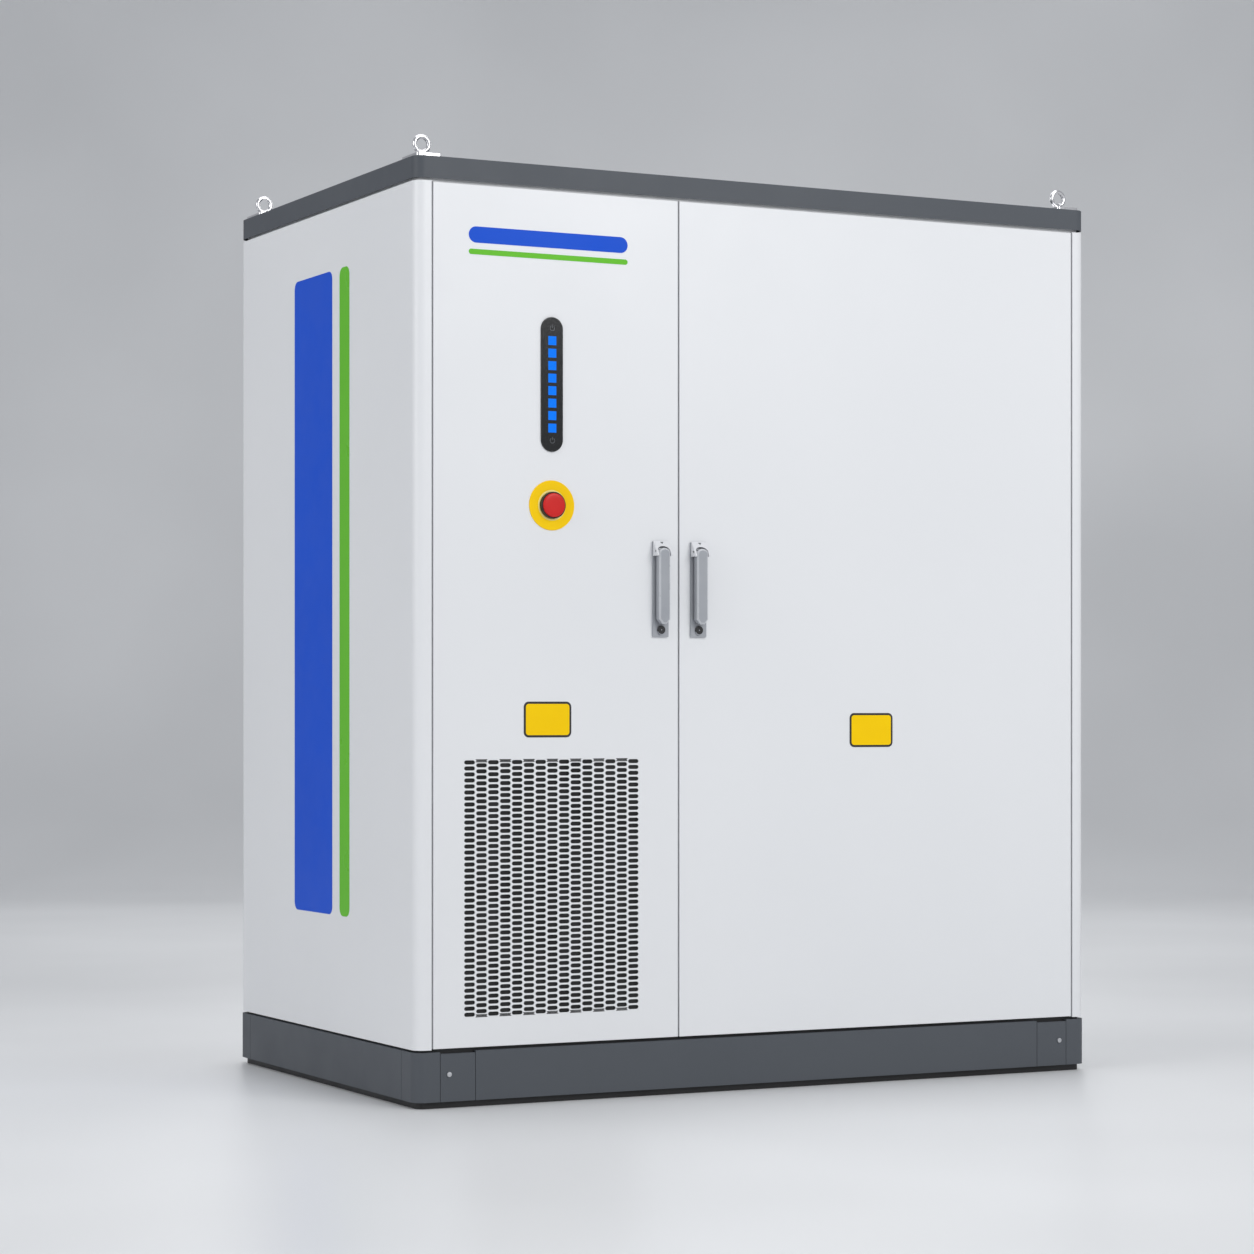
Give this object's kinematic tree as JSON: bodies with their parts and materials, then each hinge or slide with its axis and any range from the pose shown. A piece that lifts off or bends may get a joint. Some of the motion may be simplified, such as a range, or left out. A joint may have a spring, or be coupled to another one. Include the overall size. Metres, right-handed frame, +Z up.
{
  "type": "battery cabinet",
  "caption": "Free-standing steel battery cabinet with a narrow control door, a wide battery door, swing handles, an intake grille and a plinth.",
  "frame": {"origin": "on the floor, at the centre of the four anchor holes, which is the centre of the footprint", "axes": "+X along the doors to the right, +Y from the doors to the rear panel, +Z up"},
  "size_m": [1.784, 1.1475, 2.1562],
  "materials": {
    "white_paint": "satin powder coat",
    "grey_paint": "satin powder coat",
    "frame_zinc": "zinc plated",
    "lifting_steel": "bright zinc",
    "handle_metal": "satin die casting",
    "black_plastic": "matt",
    "device_plastic": "matt",
    "seal_rubber": "matt",
    "filter_mat": "matt",
    "yellow_plastic": "satin",
    "red_plastic": "satin",
    "blue_light": "lit",
    "module_case": "matt powder coat",
    "copper_bar": "satin",
    "aluminium_case": "satin",
    "bottle_red": "gloss"
  },
  "bodies": {
    "cabinet": {"floor_pan": "frame_zinc", "door_mullion": "frame_zinc", "battery_rack": "frame_zinc", "hinge_arms": "frame_zinc", "plinth_screws": "frame_zinc", "control_plate": "frame_zinc", "front_posts": "white_paint", "rear_posts": "white_paint", "sill_frame": "white_paint", "top_frame": "white_paint", "bay_partition": "white_paint", "side_panels": "white_paint", "rear_panel": "white_paint", "base_frame": "grey_paint", "plinth_corners": "grey_paint", "plinth_panels": "grey_paint", "plinth_end_plates": "grey_paint", "roof_cap": "grey_paint", "lifting_pads": "lifting_steel", "lifting_eyes": "lifting_steel", "cable_glands": "black_plastic", "fan_shroud": "black_plastic", "disconnect_case": "device_plastic", "battery_controller": "device_plastic", "left_battery_modules": "module_case", "right_battery_modules": "module_case", "high_voltage_box": "module_case", "module_links": "copper_bar", "cooling_unit": "aluminium_case", "power_converter": "aluminium_case", "extinguisher_bottle": "bottle_red"},
    "left_door": {"left_door_skin": "white_paint", "left_door_frame": "white_paint", "left_door_seal": "seal_rubber", "left_hinge_brackets": "frame_zinc", "intake_grille": "white_paint", "intake_filter": "filter_mat", "status_bar_housing": "black_plastic", "status_bar_lights": "blue_light", "emergency_stop_plate": "yellow_plastic", "emergency_stop_body": "black_plastic", "left_handle_plate": "handle_metal"},
    "left_handle": {"left_handle_swivel": "handle_metal"},
    "left_lever": {"left_handle_lever": "handle_metal"},
    "left_upper_lock_rod": {"left_upper_rod": "frame_zinc"},
    "left_lower_lock_rod": {"left_lower_rod": "frame_zinc"},
    "right_door": {"right_door_skin": "white_paint", "right_door_frame": "white_paint", "right_door_seal": "seal_rubber", "right_hinge_brackets": "frame_zinc", "right_handle_plate": "handle_metal"},
    "right_handle": {"right_handle_swivel": "handle_metal"},
    "right_lever": {"right_handle_lever": "handle_metal"},
    "right_upper_lock_rod": {"right_upper_rod": "frame_zinc"},
    "right_lower_lock_rod": {"right_lower_rod": "frame_zinc"},
    "stop_plunger": {"emergency_stop_plunger": "frame_zinc"},
    "stop_button": {"emergency_stop_button": "red_plastic"},
    "lower_fan": {"lower_fan_rotor": "black_plastic"},
    "upper_fan": {"upper_fan_rotor": "black_plastic"},
    "main_switch_knob": {"disconnect_knob": "red_plastic"}
  },
  "joints": [
    {"name": "left_door_hinge", "type": "hinge", "parent": "cabinet", "child": "left_door", "pos_m": [-0.83, -0.54, 1.0875], "axis": [0, 0, -1], "range_deg": [0, 120]},
    {"name": "left_handle_turn", "type": "hinge", "parent": "left_door", "child": "left_handle", "pos_m": [-0.285, -0.568, 1.241], "axis": [0, 1, 0], "range_deg": [0, 90]},
    {"name": "left_lever_lift", "type": "hinge", "parent": "left_handle", "child": "left_lever", "pos_m": [-0.285, -0.568, 1.241], "axis": [-1, 0, 0], "range_deg": [0, 40]},
    {"name": "left_upper_rod_slide", "type": "slide", "parent": "left_door", "child": "left_upper_lock_rod", "axis": [0, 0, -1], "range_m": [0, 0.02]},
    {"name": "left_lower_rod_slide", "type": "slide", "parent": "left_door", "child": "left_lower_lock_rod", "axis": [0, 0, 1], "range_m": [0, 0.02]},
    {"name": "right_door_hinge", "type": "hinge", "parent": "cabinet", "child": "right_door", "pos_m": [0.83, -0.54, 1.0875], "axis": [0, 0, 1], "range_deg": [0, 120]},
    {"name": "right_handle_turn", "type": "hinge", "parent": "right_door", "child": "right_handle", "pos_m": [-0.187, -0.568, 1.241], "axis": [0, -1, 0], "range_deg": [0, 90]},
    {"name": "right_lever_lift", "type": "hinge", "parent": "right_handle", "child": "right_lever", "pos_m": [-0.187, -0.568, 1.241], "axis": [-1, 0, 0], "range_deg": [0, 40]},
    {"name": "right_upper_rod_slide", "type": "slide", "parent": "right_door", "child": "right_upper_lock_rod", "axis": [0, 0, -1], "range_m": [0, 0.02]},
    {"name": "right_lower_rod_slide", "type": "slide", "parent": "right_door", "child": "right_lower_lock_rod", "axis": [0, 0, 1], "range_m": [0, 0.02]},
    {"name": "stop_press", "type": "slide", "parent": "left_door", "child": "stop_plunger", "axis": [0, 1, 0], "range_m": [0, 0.006], "stiffness_N_per_m": 400},
    {"name": "stop_twist", "type": "hinge", "parent": "stop_plunger", "child": "stop_button", "pos_m": [-0.559, -0.57, 1.338], "axis": [0, 1, 0], "range_deg": [0, 45], "stiffness_Nm_per_rad": 0.05},
    {"name": "lower_fan_spin", "type": "hinge", "parent": "cabinet", "child": "lower_fan", "pos_m": [-0.558, -0.438, 0.292], "axis": [0, 1, 0], "continuous": true},
    {"name": "upper_fan_spin", "type": "hinge", "parent": "cabinet", "child": "upper_fan", "pos_m": [-0.558, -0.438, 0.612], "axis": [0, 1, 0], "continuous": true},
    {"name": "main_switch_turn", "type": "hinge", "parent": "cabinet", "child": "main_switch_knob", "pos_m": [-0.498, -0.42, 0.934], "axis": [0, 1, 0], "range_deg": [0, 90]}
  ],
  "couplings": [
    {"joint": "left_upper_rod_slide", "follows": "left_handle_turn", "m_per_rad": 0.01273},
    {"joint": "left_lower_rod_slide", "follows": "left_handle_turn", "m_per_rad": 0.01273},
    {"joint": "right_upper_rod_slide", "follows": "right_handle_turn", "m_per_rad": 0.01273},
    {"joint": "right_lower_rod_slide", "follows": "right_handle_turn", "m_per_rad": 0.01273}
  ]
}
